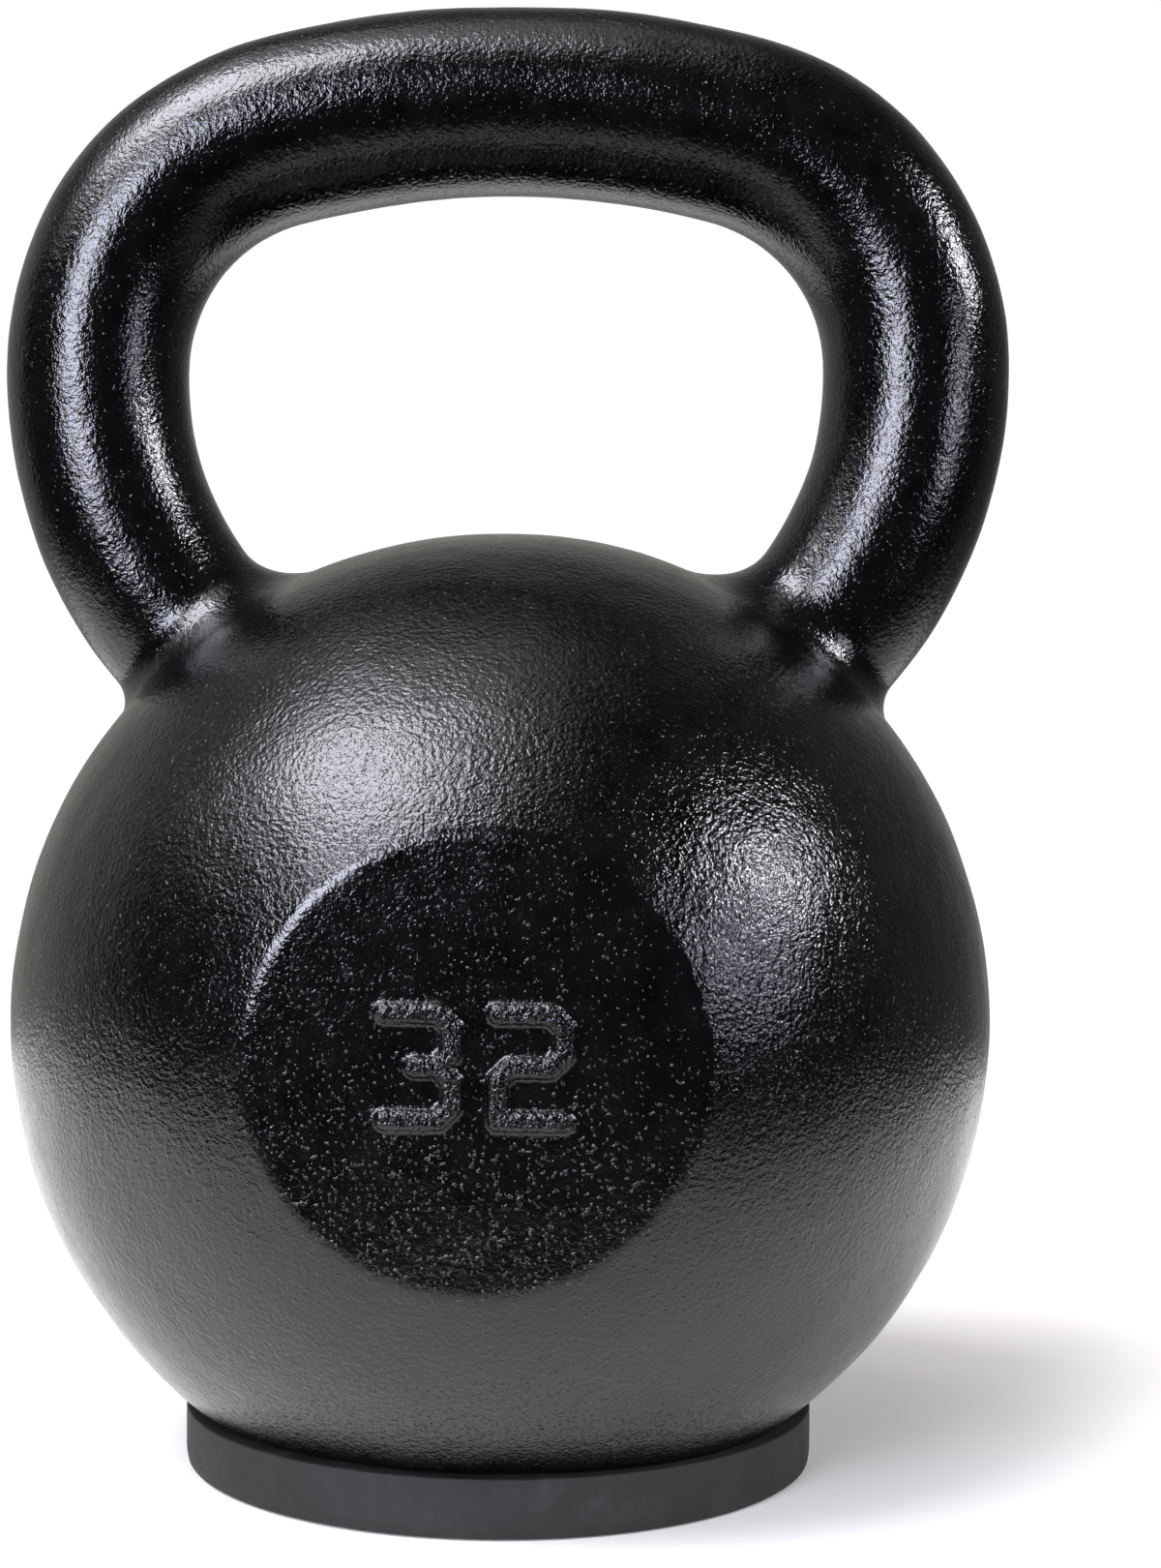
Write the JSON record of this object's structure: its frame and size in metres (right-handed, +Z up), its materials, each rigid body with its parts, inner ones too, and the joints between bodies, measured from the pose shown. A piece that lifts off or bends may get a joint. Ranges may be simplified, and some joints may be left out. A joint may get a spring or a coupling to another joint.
{
  "type": "kettlebell",
  "caption": "Ball-shaped cast-iron kettlebell with a thick round D-handle, a flat front and a flat rubber base held on by screws.",
  "frame": {"origin": "centre of the rubber base's underside, on the floor, straight below the ball's centre", "axes": "+Z up; the flat front with the raised numerals faces -Y; the handle's bar runs along X"},
  "size_m": [0.2064, 0.1927, 0.297],
  "materials": {
    "coated_iron": "glossy black textured coating with a fine hammered orange-peel surface",
    "base_rubber": "matte moulded rubber, dark grey",
    "screw_steel": "zinc-plated steel",
    "washer_steel": "zinc-plated steel"
  },
  "bodies": {
    "root": {"bell_casting": "coated_iron", "rubber_base": "base_rubber", "base_screw_1": "screw_steel", "base_screw_2": "screw_steel", "base_screw_3": "screw_steel", "base_screw_4": "screw_steel", "base_washer_1": "washer_steel", "base_washer_2": "washer_steel", "base_washer_3": "washer_steel", "base_washer_4": "washer_steel"}
  },
  "joints": []
}
